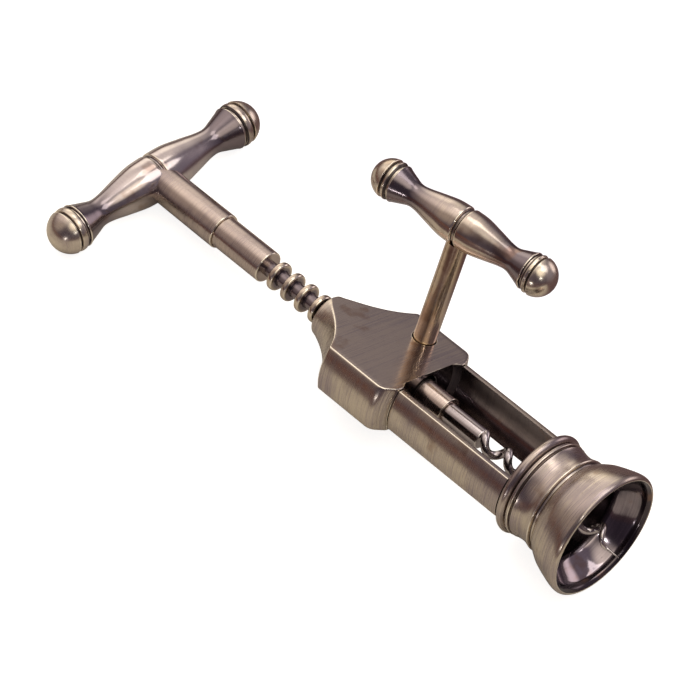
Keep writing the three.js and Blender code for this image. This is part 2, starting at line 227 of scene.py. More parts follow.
def turned(name, profile, place, steps=144):
    return finish_mesh(name, turned_mesh(profile, steps), place)


def loft_mesh(sections):
    """A closed solid through sections of equally many (x, y, z) points, capped at both ends."""
    bm = bmesh.new()
    rings = [[bm.verts.new(point) for point in section] for section in sections]
    for one, other in zip(rings, rings[1:]):
        for i in range(len(one)):
            j = (i + 1) % len(one)
            bm.faces.new((one[i], one[j], other[j], other[i]))
    bm.faces.new(rings[0])
    bm.faces.new(list(reversed(rings[-1])))
    return bm


def cylinder_z(x, y, levels, steps=96):
    """A cutter or shaft along Z from (z, radius) levels, centred on x, y."""
    bm = turned_mesh([(levels[0][0], 0), *levels, (levels[-1][0], 0)], steps)
    bmesh.ops.rotate(bm, verts=bm.verts, matrix=Matrix.Rotation(-math.pi / 2, 3, "Y"))
    bmesh.ops.translate(bm, verts=bm.verts, vec=(x, y, 0))
    return bm


def block(size, centre):
    """A box as a cutter."""
    bm = bmesh.new()
    bmesh.ops.create_cube(bm, size=1)
    bmesh.ops.scale(bm, verts=bm.verts, vec=size)
    bmesh.ops.translate(bm, verts=bm.verts, vec=centre)
    return bm


def cut(piece, place, cutters, sharp=SHARP):
    """Cuts the piece by meshes in its own frame, in millimetres, and marks its surface again."""
    for number, bm in enumerate(cutters):
        cutter = finish_mesh(f"cutter_{number}", bm, place)
        modifier = piece.modifiers.new("cut", "BOOLEAN")
        modifier.operation = "DIFFERENCE"
        modifier.solver = "EXACT"
        modifier.object = cutter
        bpy.context.view_layer.update()
        evaluated = piece.evaluated_get(bpy.context.evaluated_depsgraph_get())
        mesh = bpy.data.meshes.new_from_object(evaluated)
        piece.modifiers.clear()
        piece.data = mesh
        bpy.data.objects.remove(cutter)
    mark_surface(piece, place, sharp)


# ---- materials ----

# Bright cream for worn edges, which also paints the highlight that rounded edges catch
EDGE_WEAR_AND_HIGHLIGHT = (0.86, 0.78, 0.64)
# Near-black: painted shade in grooves and hollows, and the colour of small stains
STAIN_AND_HOLLOW_SHADE = (0.030, 0.024, 0.030)
TONING = (0.235, 0.195, 0.205)
BROWN = (0.27, 0.155, 0.10)

STROKES = 3200.0  # brush strokes per metre, roughly
BROWN_SCALE, SPECK_SCALE = 95.0, 900.0  # patches per metre, roughly


def node(tree, kind, inputs=None, **settings):
    """A new node with these settings, whose inputs are set to values or linked to other nodes' outputs."""
    made = tree.nodes.new(kind)
    for key, value in settings.items():
        setattr(made, key, value)
    for key, value in (inputs or {}).items():
        if isinstance(value, bpy.types.NodeSocket):
            tree.links.new(value, made.inputs[key])
        else:
            made.inputs[key].default_value = value
    return made


def math_node(tree, operation, a, b=0.0, c=0.0, clamp=False):
    return node(tree, "ShaderNodeMath", {0: a, 1: b, 2: c}, operation=operation, use_clamp=clamp).outputs[0]


def vector_node(tree, operation, a, b):
    return node(tree, "ShaderNodeVectorMath", {0: a, 1: b}, operation=operation).outputs[0]


def remap(tree, value, low, high, to_low=0.0, to_high=1.0):
    """The value eased from low to high into the new range, and held at its ends."""
    return node(tree, "ShaderNodeMapRange",
                {"Value": value, "From Min": low, "From Max": high, "To Min": to_low, "To Max": to_high},
                interpolation_type="SMOOTHSTEP").outputs["Result"]


def blend(tree, factor, a, b):
    return node(tree, "ShaderNodeMix", {"Factor": factor, "A": a, "B": b},
                data_type="RGBA").outputs["Result"]


def noise(tree, vector, scale, detail=2.0, roughness=0.5):
    return node(tree, "ShaderNodeTexNoise",
                {"Vector": vector, "Scale": scale, "Detail": detail, "Roughness": roughness}).outputs["Fac"]


def from_axis(tree, place):
    """How far a place is from the axis that its piece was turned about."""
    across = vector_node(tree, "MULTIPLY", place, (0, 1, 1))
    return node(tree, "ShaderNodeVectorMath", {0: across}, operation="LENGTH").outputs["Value"]


def brush_strokes(tree, place, stretch, rings):
    """Fine and broad strokes round the axis, from 0 to 1, drawn out by stretch along the way they run."""
    stretched = vector_node(tree, "MULTIPLY", place, (STROKES, STROKES / stretch, STROKES / stretch))
    if rings:
        outwards = math_node(tree, "MULTIPLY", from_axis(tree, place), STROKES)
        offset = node(tree, "ShaderNodeCombineXYZ", {"X": outwards}).outputs[0]
        stretched = vector_node(tree, "ADD", stretched, offset)
    fine = remap(tree, noise(tree, stretched, 1.0, 3.0, 0.65), 0.3, 0.7)
    broad = remap(tree, noise(tree, stretched, 0.22, 2.0, 0.6), 0.35, 0.65)
    return math_node(tree, "ADD", math_node(tree, "MULTIPLY", fine, 0.75),
                     math_node(tree, "MULTIPLY", broad, 0.25))


def uneven_limit(tree, distance, tone, limits, wander):
    """From 0 to 1 between two distances, with a border that wanders this far either way, in millimetres."""
    uneven = math_node(tree, "MULTIPLY_ADD", tone, 2 * wander * MM, distance)
    return remap(tree, uneven, (limits[0] + wander) * MM, (limits[1] + wander) * MM)


def metal(name, warm, cool, rough, edge=EDGE_WEAR_AND_HIGHLIGHT, recess=STAIN_AND_HOLLOW_SHADE, grain=0.5, depth=0.1, spread=0.5, stretch=40,
          blotch=45, patina=0.5, rings=False, worn=None, along=None):
    """Plated bronze that was brushed round its axis.

    warm and cool are the rubbed and the toned colour. edge is the colour of worn edges and also of the
    painted highlight that rounded edges catch. recess is a near-black painted shade for grooves and hollows,
    and also colours small stains.
    grain is how much the brushing shows in colour and gloss, depth how much in relief, and spread how far
    it draws out a highlight. patina is how far the toned colour comes through, in patches of the size that
    blotch sets. rings turns the strokes on faces across the axis into rings. worn gives the two radii
    between which dark toning turns into clean metal, and along the two distances from the middle of the
    axis between which clean metal turns dark.
    """
    material = bpy.data.materials.new(name)
    material.use_nodes = True
    tree = material.node_tree
    tree.nodes.clear()
    place = node(tree, "ShaderNodeAttribute", attribute_name="spot").outputs["Vector"]
    bend = node(tree, "ShaderNodeAttribute", attribute_name="bend").outputs["Fac"]
    lay = node(tree, "ShaderNodeAttribute", attribute_name="lay").outputs["Vector"]
    lines = brush_strokes(tree, place, stretch, rings)
    tone = noise(tree, place, blotch, 4.0, 0.55)

    toned = remap(tree, tone, 0.36, 0.60, 1.0 - patina, 1.0)
    shown = math_node(tree, "MULTIPLY_ADD", math_node(tree, "SUBTRACT", lines, 0.5), grain, toned, clamp=True)
    colour = blend(tree, shown, (*cool, 1), (*warm, 1))
    if worn:
        clean = uneven_limit(tree, from_axis(tree, place), tone, worn, 1.1)
        colour = blend(tree, clean, (*TONING, 1), colour)
    if along:
        reach = math_node(tree, "ABSOLUTE", node(tree, "ShaderNodeSeparateXYZ", {0: place}).outputs["X"])
        colour = blend(tree, uneven_limit(tree, reach, tone, along, 3.0), colour, (*TONING, 1))
    browned = remap(tree, noise(tree, place, BROWN_SCALE, 3.0, 0.6), 0.58, 0.70, 0.0, 0.5)
    colour = blend(tree, browned, colour, (*BROWN, 1))
    stain = remap(tree, noise(tree, place, SPECK_SCALE, 2.0, 0.6), 0.68, 0.76, 0.0, 0.2)
    colour = blend(tree, stain, colour, (*recess, 1))
    # Convex edges turn bright cream: partly worn plating, partly a painted highlight
    worn_edge_and_highlight = math_node(tree, "MULTIPLY", remap(tree, bend, 0.6, 1.8), remap(tree, tone, 0.2, 0.5, 0.6, 1.0))
    colour = blend(tree, worn_edge_and_highlight, colour, (*edge, 1))
    # Concave places turn near-black: painted shade in grooves and creases
    hollow_shade = remap(tree, math_node(tree, "MULTIPLY", bend, -1.0), 0.4, 1.6, 0.0, 0.9)
    colour = blend(tree, hollow_shade, colour, (*recess, 1))

    gloss = remap(tree, lines, 0.0, 1.0, rough * (1 + 0.35 * grain), rough * (1 - 0.35 * grain))
    gloss = math_node(tree, "ADD", gloss, math_node(tree, "MULTIPLY", hollow_shade, 0.2))
    gloss = math_node(tree, "ADD", gloss, remap(tree, tone, 0.3, 0.7, 0.03, -0.02))
    relief = node(tree, "ShaderNodeBump",
                  {"Height": lines, "Strength": depth, "Distance": 0.02 * MM}).outputs["Normal"]
    tangent = node(tree, "ShaderNodeVectorTransform", {"Vector": lay}, vector_type="VECTOR",
                   convert_from="OBJECT", convert_to="WORLD").outputs[0]
    shader = node(tree, "ShaderNodeBsdfPrincipled",
                  {"Base Color": colour, "Roughness": gloss, "Metallic": 1.0, "Normal": relief,
                   "Tangent": tangent, "Anisotropic": spread, "Anisotropic Rotation": 0.25})
    node(tree, "ShaderNodeOutputMaterial", {"Surface": shader.outputs[0]})
    return material


BRUSHED = metal("brushed_bronze", (0.62, 0.535, 0.43), (0.33, 0.27, 0.285), 0.25,
                grain=0.6, spread=0.6, patina=0.7)
FLAT = metal("brushed_flat", (0.50, 0.42, 0.365), (0.29, 0.245, 0.265), 0.18,
             grain=1.3, depth=0.08, spread=0.4, stretch=110)
MAIN_BAR = metal("polished_main_bar", (0.56, 0.49, 0.46), (0.42, 0.36, 0.38), 0.18,
                 grain=0.3, depth=0.03, spread=0.3, blotch=70, patina=0.6, along=(12.5, 23.0))
SIDE_BAR = metal("polished_side_bar", (0.65, 0.555, 0.45), (0.40, 0.33, 0.325), 0.19,
                 grain=0.35, depth=0.03, spread=0.3, blotch=70, patina=0.6, along=(8.0, 17.0))
BALL = metal("polished_ball", (0.74, 0.65, 0.52), (0.42, 0.34, 0.32), 0.24,
             grain=0.3, depth=0.03, spread=0.2, blotch=95, patina=0.75)
DRAWN = metal("drawn_bronze", (0.565, 0.47, 0.405), (0.33, 0.265, 0.26), 0.24,
              depth=0.06, spread=0.6, patina=0.7)
RING = metal("ring_bronze", (0.70, 0.59, 0.46), (0.44, 0.365, 0.34), 0.2, recess=(0.04, 0.033, 0.04),
             grain=0.4, depth=0.05, spread=0.3, blotch=120, rings=True, worn=(3.0, 4.2))
SHAFT = metal("shaft_bronze", (0.61, 0.475, 0.335), (0.46, 0.385, 0.365), 0.19,
              grain=0.35, depth=0.03, patina=0.8)
STEEL = metal("dark_steel", (0.46, 0.41, 0.40), (0.28, 0.25, 0.265), 0.2, edge=(0.7, 0.64, 0.6),
              recess=(0.03, 0.028, 0.03), grain=0.6)
# A darker copy of the bronze for surfaces inside openings and the bell's funnel: painted shade
INNER_SHADE = metal("inner_bronze_painted_shade", (0.37, 0.315, 0.325), (0.12, 0.10, 0.115), 0.12, edge=(0.42, 0.36, 0.34),
              grain=0.4, depth=0.05, spread=0.35, patina=0.8)
SHADED = metal("shaded_bronze", (0.22, 0.18, 0.175), (0.09, 0.073, 0.078), 0.16, edge=(0.4, 0.34, 0.32),
               grain=0.4, depth=0.05, spread=0.35, patina=0.8)
# A near-black copy of the bronze for bores and deep corners: painted shade
DEEP_SHADE = metal("deep_bronze_painted_shade", (0.10, 0.082, 0.088), (0.045, 0.037, 0.045), 0.2, edge=(0.2, 0.17, 0.17),
             grain=0.4, depth=0.05, spread=0.35, patina=0.8)


def dress(piece, material, body, node_name):
    """Gives a piece its material and body, and lets it stand for its CAD node."""
    piece.data.materials.clear()
    piece.data.materials.append(material)
    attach(piece, body)
    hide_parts(node_name)


def cover_faces(piece, material, inside):
    """Gives another material to the faces that pass the test.

    The test takes a face's middle, in millimetres, and its normal, both in the tool's frame.
    """
    piece.data.materials.append(material)
    index = len(piece.data.materials) - 1
    back = TOOL.inverted()
    for face in piece.data.polygons:
        if inside(back @ face.center / MM, back.to_3x3() @ face.normal):
            face.material_index = index


def off_axis(at):
    return math.hypot(at.y, at.z)


# ---- barrel ----


def housing_section(x, radius, inset, flat_steps=14, side_steps=30, edge=0.45):
    """The outline across the spindle: a disc cut flat above and below, with its long edges rounded."""
    radius -= inset
    top, bottom = min(HOUSING_TOP - inset, radius), min(-HOUSING_BOTTOM - inset, radius)
    half_top = math.sqrt(radius ** 2 - top ** 2)
    half_bottom = math.sqrt(radius ** 2 - bottom ** 2)
    edge_top, edge_bottom = min(edge, half_top * 0.6), min(edge, half_bottom * 0.6)
    start = math.atan2(top, half_top) - edge_top / radius
    end = edge_bottom / radius - math.atan2(bottom, half_bottom)

    def on_disc(angle):
        return radius * math.cos(angle), radius * math.sin(angle)

    right = [((half_top - edge_top) * i / flat_steps, top) for i in range(flat_steps)]
    right += bezier((half_top - edge_top, top), (half_top, top), on_disc(start), 5)
    right += [on_disc(start + (end - start) * i / side_steps) for i in range(1, side_steps)]
    right += bezier(on_disc(end), (half_bottom, -bottom), (half_bottom - edge_bottom, -bottom), 5)
    right += [((half_bottom - edge_bottom) * i / flat_steps, -bottom) for i in range(flat_steps - 1, -1, -1)]
    outline = right + [(-y, z) for y, z in reversed(right[1:-1])]
    return [(x, y, z) for y, z in outline]


def housing_body():
    """The housing before its openings are cut: neck, cove, body and chamfer."""
    chamfer_x = HOUSING_END_X - CHAMFER
    straight = [(BODY_X + BODY_ROUND + i, BODY_R) for i in range(17)]
    profile = arc((NECK_X + NECK_ROUND, NECK_R - NECK_ROUND), NECK_ROUND, 180, 90, 6)
    profile += bezier((COVE_X, NECK_R), COVE_BEND, (BODY_X, BODY_R), 44)[1:-1]
    profile += rounded([(BODY_X - 0.4, BODY_R - 0.9), (BODY_X, BODY_R, BODY_ROUND), straight[-1]], 5)[1:-1]
    profile += straight
    profile += rounded([straight[-1], (chamfer_x, BODY_R, CHAMFER_ROUND), (HOUSING_END_X, FRAME_R)], 9)[1:-1]
    fall = (BODY_R - FRAME_R) / CHAMFER
    end_round = 0.35
    profile += [(HOUSING_END_X - back, FRAME_R + fall * back) for back in (RECESS_DEPTH, 0.8, end_round)]
    sections = [housing_section(x, radius, 0) for x, radius in profile]
    for angle in (30, 60, 90):
        lean = math.radians(angle)
        x = HOUSING_END_X - end_round * (1 - math.sin(lean))
        sections.append(housing_section(x, FRAME_R, end_round * (1 - math.cos(lean))))
    return finish_mesh("housing_body", loft_mesh(sections), TOOL, HOUSING_SHARP)


def housing_cutters(floor_x, chamber_z):
    """The openings: end recess, rack bore, pinion's chamber and its slot, and both shaft holes."""
    before_x, past_x, outside = -110, -60, 20
    recess = turned_mesh([(floor_x, 0), (floor_x, FLOOR_R), (HOUSING_END_X + 0.01, FRAME_BORE_R),
                          (past_x, FRAME_BORE_R), (past_x, 0)], 144)
    flare, end_flare = 4.6, 8
    bore = turned_mesh([(before_x, 0), (before_x, BORE_R + flare), (NECK_X + 0.2, BORE_R),
                        (floor_x - 0.2, BORE_R), (past_x, BORE_R + end_flare), (past_x, 0)], 96)
    chamber = cylinder_z(PINION_X, PINION_Y, [(-chamber_z, CHAMBER_R), (chamber_z, CHAMBER_R)])
    slot = block((2 * CHAMBER_R, outside, 2 * chamber_z), (PINION_X, PINION_Y + outside / 2, 0))
    play, rim_play = 0.22, 0.42
    shaft_hole = cylinder_z(PINION_X, PINION_Y, [(0, SHAFT_R + play), (HOUSING_TOP - 0.12, SHAFT_R + play),
                                                 (HOUSING_TOP + 0.1, SHAFT_R + rim_play),
                                                 (outside, SHAFT_R + rim_play)])
    shoulder = HOUSING_BOTTOM + SCREW_HEAD + GAP
    foot_hole = cylinder_z(PINION_X, PINION_Y, [(-outside, SCREW_HEAD_R + GAP),
                                                (shoulder, SCREW_HEAD_R + GAP),
                                                (shoulder, JOURNAL_R + GAP), (0, JOURNAL_R + GAP)])
    return [recess, bore, chamber, slot, shaft_hole, foot_hole]


def make_housing():
    floor_x = HOUSING_END_X - RECESS_DEPTH
    chamber_z = PINION_HALF + 0.4
    housing = housing_body()
    cut(housing, TOOL, housing_cutters(floor_x, chamber_z), HOUSING_SHARP)
    dress(housing, BRUSHED, "barrel", "housing")

    def in_opening(at, normal):
        in_recess = off_axis(at) < FRAME_BORE_R + 0.2 and normal.x > 0.3 and at.x > floor_x - 1
        in_chamber = abs(at.z) < chamber_z + 0.01 and at.y > 3 and off_axis(at) < BODY_R - 0.55
        return in_recess or in_chamber or off_axis(at) < BORE_R + 0.1

    def in_frame_end(at, normal):
        return at.x > HOUSING_END_X - 4 and abs(at.z) < FRAME_TOP + 0.2 and off_axis(at) < FRAME_BORE_R + 0.2

    def on_flat(at, normal):
        return abs(normal.z) > 0.995 and not -HOUSING_TOP < at.z < HOUSING_TOP - 0.1

    # Painted shade: the openings and the bore get the darker copy of the bronze, and the housing's end inside
    # the frame gets the near-black copy
    cover_faces(housing, INNER_SHADE, in_opening)
    cover_faces(housing, DEEP_SHADE, in_frame_end)
    cover_faces(housing, FLAT, on_flat)


def wall_outline(side, inset, steps=24):
    """The outline across one wall of the frame, a strip of tube with its four edges eased."""
    outer_ease, inner_ease = 0.3, 0.2

    def at(radius, z):
        return side * math.sqrt(radius ** 2 - z ** 2), z

    top, bottom = FRAME_TOP - inset, FRAME_BOTTOM + inset
    levels = [top + (bottom - top) * i / steps for i in range(steps + 1)]
    outer = [at(FRAME_R - inset, z) for z in levels]
    inner = [at(FRAME_BORE_R, z) for z in reversed(levels)]
    return rounded([(*outer[0], outer_ease), *outer[1:-1], (*outer[-1], outer_ease),
                    (*inner[0], inner_ease), *inner[1:-1], (*inner[-1], inner_ease)], 4)


def make_walls():
    start, end = HOUSING_END_X - 0.25, COLLAR_X + 0.1
    shrunk, shoulder, steps = 0.35, 1.2, 40
    stations = [(start, shrunk), (start + 0.5, shrunk), (start + 0.62, 0.12), (start + 0.85, 0.0)]
    stations += [(start + shoulder + (end - start - shoulder) * i / steps, 0.0) for i in range(steps + 1)]
    for name, side in (("front", -1), ("back", 1)):
        sections = [[(x, y, z) for y, z in wall_outline(side, inset)] for x, inset in stations]
        wall = finish_mesh(f"wall_{name}", loft_mesh(sections), TOOL)
        dress(wall, BRUSHED, "barrel", f"frame_wall_{name}")
        cover_faces(wall, SHADED, lambda at, normal: off_axis(at) < FRAME_BORE_R + 0.15)


def make_collar():
    """The collar: a round bead, given from its crown down, a fine groove and a plain band."""
    end = NECKING_X + 0.6
    bead = [(0, 1.2), (0.15, 0.75), (0.6, 0.25), (1.2, 0.02),
            (1.7, 0.02), (2.2, 0.3), (2.55, 0.8), (2.65, 1.1)]
    profile = [(COLLAR_X, BELL_BORE_R), (COLLAR_X, BEAD_R - 1.3)]
    profile += smooth([(COLLAR_X + along, BEAD_R - below) for along, below in bead], 8)
    profile += rounded([(COLLAR_X + 2.68, BEAD_R - 1.2), (COLLAR_X + 2.75, GROOVE_R, 0.15),
                        (COLLAR_X + 3.1, GROOVE_R, 0.15), (COLLAR_X + 3.25, BAND_R - 0.02, 0.25),
                        (end - 0.15, BAND_R + 0.02, 0.25), (end, BAND_R - 0.6, 0.1), (end, BELL_BORE_R)], 5)
    profile += [(NECKING_X - 1, BELL_BORE_R), (COLLAR_X + 1.1, BELL_BORE_R), profile[0]]
    collar = turned("collar_ring", profile, TOOL, BELL_STEPS)
    dress(collar, BRUSHED, "barrel", "collar_bead")
    # Painted shade: the collar's face against the frame gets the darker copy of the bronze, and its bore gets
    # the near-black copy
    cover_faces(collar, INNER_SHADE, lambda at, normal: at.x < COLLAR_X + 0.1)
    cover_faces(collar, DEEP_SHADE, lambda at, normal: off_axis(at) < BELL_BORE_R + 0.1)


def make_necking():
    """The waist of the bell, between two fine grooves."""
    start, end = NECKING_X + 0.62, BOWL_X + 0.1
    rim_r = WAIST_R + 0.5
    waist = [(WAIST_X - 2.8, 0.3), (WAIST_X - 1.4, 0.05), (WAIST_X, -0.02), (WAIST_X + 1.2, 0.12),
             (WAIST_X + 2.1, 0.4), (end - 1.15, 0.6)]
    profile = [(start, BELL_BORE_R)]
    profile += rounded([(start, GROOVE_R + 0.05), (start + 0.25, GROOVE_R + 0.1, 0.1),
                        (start + 0.5, rim_r, 0.2)], 4)
    profile += smooth([(start + 0.8, rim_r), *((x, WAIST_R + above) for x, above in waist)], 8)
    profile += rounded([(end - 1.05, rim_r + 0.12), (end - 0.8, rim_r, 0.15), (end - 0.62, GROOVE_R, 0.2),
                        (end, GROOVE_R - 0.15)], 4)
    profile += [(end, BELL_BORE_R), profile[0]]
    necking = turned("bell_waist", profile, TOOL, BELL_STEPS)
    dress(necking, BRUSHED, "barrel", "bell_necking")
    # Painted shade: the near-black copy of the bronze inside the bore
    cover_faces(necking, DEEP_SHADE, lambda at, normal: off_axis(at) < BELL_BORE_R + 0.1)


def make_bowl():
    """The bowl of the bell: its outside, given from its widest down, the rolled lip and the funnel."""
    start = BOWL_X + 0.11
    outside = [(BOWL_X + 0.45, 4.85), (-12.2, 4.15), (-10.8, 3.25), (-9.1, 2.3), (-7.0, 1.5), (-5.0, 0.85),
               (-3.4, 0.38), (-2.2, 0.12), (-1.3, 0.05), (-0.6, 0.2), (-0.15, 0.55), (0.0, 0.95)]
    profile = [(start, BELL_BORE_R)]
    profile += rounded([(start, GROOVE_R - 0.15), (BOWL_X + 0.3, GROOVE_R + 0.05, 0.12),
                        (BOWL_X + 0.5, GROOVE_R + 0.55)], 4)[:-1]
    profile += smooth([(x, LIP_R - below) for x, below in outside], 8)
    profile += rounded([(0.0, LIP_R - 1.0), (-0.05, LIP_R - 1.15, 0.1), (-0.65, MOUTH_R + 0.15, 0.4),
                        (-1.0, MOUTH_R - 0.02)], 6)[1:]
    profile += rounded([(-1.2, MOUTH_R - 0.05), (-2.4, MOUTH_R - 0.2, 1.1), (-5.4, MOUTH_R - 2, 6.0),
                        (THROAT_X, BELL_BORE_R, 1.5), (THROAT_X - 2.5, BELL_BORE_R)], 12)
    profile.append(profile[0])
    bowl = turned("bell_bowl_turned", profile, TOOL, BOWL_STEPS)
    dress(bowl, BRUSHED, "barrel", "bell_bowl")

    def in_funnel(at, normal):
        return at.x < -0.3 and normal.dot(Vector((0, at.y, at.z))) < 0

    def in_shade(at, normal):
        under_lip = at.x > -2.3 and MOUTH_R - 0.4 < off_axis(at) < MOUTH_R + 0.88
        return under_lip or off_axis(at) < BELL_BORE_R + 0.5

    # Painted shade: the funnel gets the darker copy of the bronze, and the bore and the place under the lip
    # get the near-black copy
    cover_faces(bowl, INNER_SHADE, in_funnel)
    cover_faces(bowl, DEEP_SHADE, in_shade)


# ---- rack ----


def make_rack():
    head_x = HEAD_START_X - 0.2
    profile = rounded([(head_x, RACK_BORE_R), (head_x, HEAD_R, 0.3), (HEAD_END_X, HEAD_R, 0.45),
                       (HEAD_END_X, RACK_BORE_R)], 5)
    head = turned("rack_head_turned", [*profile, profile[0]], TOOL)
    dress(head, DRAWN, "rack", "rack_head")

    end = FIRST_RING_X + RING_PITCH * RING_COUNT - RING_HALF
    outline = [(HEAD_END_X, RACK_BORE_R), (HEAD_END_X, CORE_R)]
    for i in range(RING_COUNT):
        x = FIRST_RING_X + RING_PITCH * i
        outline += [(x - RING_HALF, CORE_R, 0.3), (x - RING_HALF, RING_R, 0.85),
                    (x + RING_HALF, RING_R, 0.85), (x + RING_HALF, CORE_R, 0.3)]
    outline += [(end, CORE_R), (end, RACK_BORE_R)]
    profile = rounded(outline, 5)
    rings = turned("rack_teeth", [*profile, profile[0]], TOOL, 112)
    dress(rings, RING, "rack", "rack_rings")

    profile = rounded([(end, RACK_BORE_R), (end, SLEEVE_R, 0.5), (SLEEVE_END_X, SLEEVE_R, 0.22),
                       (SLEEVE_END_X, RACK_BORE_R)], 5)
    sleeve = turned("rack_sleeve_turned", [*profile, profile[0]], TOOL)
    dress(sleeve, DRAWN, "rack", "rack_sleeve")


# ---- handles ----


def bar_profile(size):
    """Half of the bar's outline, from the groove at its middle to the rim beside the ball."""
    rim, neck = size["bead"], size["neck"]
    waist, neck_r, bead_r = size["waist_r"], size["neck_r"], size["bead_r"]
    half = rounded([(0.0, waist - 0.8), (0.42, waist - 0.75, 0.25), (0.8, waist - 0.03, 0.3),
                    (1.8, waist)], 4)[:-1]
    half += smooth([(1.4, waist), (0.3 * neck, waist * 0.965), (0.58 * neck, waist * 0.80),
                    (0.84 * neck, neck_r * 1.05), (neck, neck_r),
                    (neck + (rim - neck) * 0.42, neck_r + (bead_r - neck_r) * 0.38),
                    (rim - 1.0, bead_r - 0.35)], 9)
    half += rounded([(rim - 0.9, bead_r - 0.25), (rim - 0.2, bead_r + 0.03, 0.3),
                     (rim + 0.1, bead_r - 0.6, 0.25), (rim + 0.1, 0)], 5)[1:]
    return half


def ball_profile(size):
    """The ball's outline, outwards: a groove, a flat bead, a second groove and the round end."""
    scale = size["bead_r"] / MAIN["bead_r"]
    deep, wide = 0.85 * scale, 0.42 * scale
    inner, bead_r = size["bead"] + 0.05, size["bead_r"] + 0.1
    bead_start, bead_end = inner + 2 * wide, size["groove"] + 0.1 - wide
    groove_end = bead_end + 2 * wide
    dome = groove_end + 0.15
    first = math.acos((dome - size["ball"]) / size["ball_r"])
    dome_r = size["ball_r"] * math.sin(first)
    outline = [(inner, 0)]
    outline += rounded([(inner, bead_r - deep), (bead_start - 0.1, bead_r - deep, 0.3),
                        (bead_start + 0.15, bead_r - 0.1, 0.35)], 5)
    outline += smooth([(bead_start + 0.35, bead_r - 0.02), ((bead_start + bead_end) / 2, bead_r + 0.06),
                       (bead_end - 0.35, bead_r - 0.04)], 5)
    outline += rounded([(bead_end - 0.25, bead_r - 0.08), (bead_end, bead_r - 0.15, 0.25),
                        (bead_end + 0.12, bead_r - deep, 0.25),
                        (groove_end - 0.12, bead_r - deep - 0.05, 0.25),
                        (groove_end, dome_r - 0.1, 0.2), (dome, dome_r)], 5)[1:-1]
    outline += arc((size["ball"], 0), size["ball_r"], math.degrees(first), 0, 30)[:-1]
    return outline + [(size["ball"] + size["ball_r"], 0)]


def make_handle(prefix, size, place, body, material):
    half = bar_profile(size)
    outline = [(-along, radius) for along, radius in reversed(half[1:])] + half
    bar = turned(f"{prefix}_handle_bar", outline, place, 128)
    dress(bar, material, body, f"{prefix}_bar")
    for name, side in (("left", -1), ("right", 1)):
        outline = [(side * along, radius) for along, radius in ball_profile(size)]
        ball = turned(f"{prefix}_handle_ball_{name}", outline, place, 128)
        dress(ball, BALL, body, f"{prefix}_ball_{name}")


def shift(x, y, z):
    return Matrix.Translation(Vector((x, y, z)) * MM)


def main_place():
    """The main handle's own frame, with X along the bar."""
    along = Vector((0, math.cos(HANDLE_TURN), math.sin(HANDLE_TURN)))
    up = Vector((1, 0, 0))
    matrix = Matrix((along, up, along.cross(up))).transposed().to_4x4()
    return TOOL @ shift(HANDLE_X, 0, 0) @ matrix


def side_place():
    """The side handle's own frame, with X along the bar."""
    return TOOL @ shift(PINION_X, PINION_Y, SIDE_Z) @ Matrix.Rotation(SIDE_TURN, 4, "Z")


# ---- spindle ----


def make_hub():
    start, end = HANDLE_X + 2.0, HEAD_START_X - 0.25
    profile = rounded([(start, 0), (start, HUB_R - 0.12), (end, HUB_R, 0.4), (end, 0)], 5)
    hub = turned("hub_turned", profile, TOOL)
    dress(hub, DRAWN, "screw", "spindle_hub")


def make_rod():
    """The axle inside the rack, with the thicker end below the sleeve that holds the worm."""
    start, shoulder, end = HEAD_START_X - 5.8, SLEEVE_END_X + 0.12, ROD_END_X + 0.4
    profile = rounded([(start, 0), (start, ROD_R), (shoulder, ROD_R), (shoulder, ROD_LOW_R, 0.25),
                       (end, ROD_LOW_R, 0.5), (end, 0)], 5)
    rod = turned("rod_turned", profile, TOOL, 112)
    dress(rod, STEEL, "screw", "spindle_rod")


def worm_point(x):
    """The middle of the worm's wire at x: a helix, which straightens out at its point."""
    past = max(0.0, x - WORM_STRAIGHT_X)
    turned_by = min(x, WORM_STRAIGHT_X) - WORM_PHASE_X + WORM_EASE * (1 - math.exp(-past / WORM_EASE))
    angle = WORM_PHASE + 2 * math.pi * turned_by / WORM_PITCH
    return Vector((x, WORM_R * math.cos(angle), WORM_R * math.sin(angle)))


def even_points(points, steps):
    """Some of these closely spaced points, at even distances along them, and how long they are together."""
    lengths = [0.0]
    for a, b in zip(points, points[1:]):
        lengths.append(lengths[-1] + (b - a).length)
    chosen, index = [], 0
    for i in range(steps + 1):
        while index < len(points) - 1 and lengths[index] < lengths[-1] * i / steps:
            index += 1
        chosen.append(points[index])
    return chosen, lengths[-1]


def make_worm():
    start, close, steps, sides = ROD_END_X + 0.2, 6000, 640, 28
    wire = [worm_point(start + (WORM_TIP_X - start) * i / close) for i in range(close + 1)]
    centres, length = even_points(wire, steps)
    bluntness, sharpness = 0.05, 0.8
    sections = []
    normal = Vector((0, 0, 1))
    for i, centre in enumerate(centres):
        ahead = (centres[min(i + 1, steps)] - centres[max(i - 1, 0)]).normalized()
        normal = (normal - ahead * normal.dot(ahead)).normalized()
        other = ahead.cross(normal)
        left = length * (steps - i) / steps
        radius = WIRE_R * max(bluntness, min(1.0, left / WORM_TAPER)) ** sharpness
        turns = [2 * math.pi * k / sides for k in range(sides)]
        sections.append([centre + normal * radius * math.cos(turn) + other * radius * math.sin(turn)
                         for turn in turns])
    worm = finish_mesh("worm_wire", loft_mesh(sections), TOOL)
    dress(worm, STEEL, "screw", "worm")


# ---- side winder ----


def winder_place():
    """The side shaft's own frame, at its foot, with X along the shaft."""
    return TOOL @ shift(PINION_X, PINION_Y, 0) @ Matrix.Rotation(-math.pi / 2, 4, "Y")


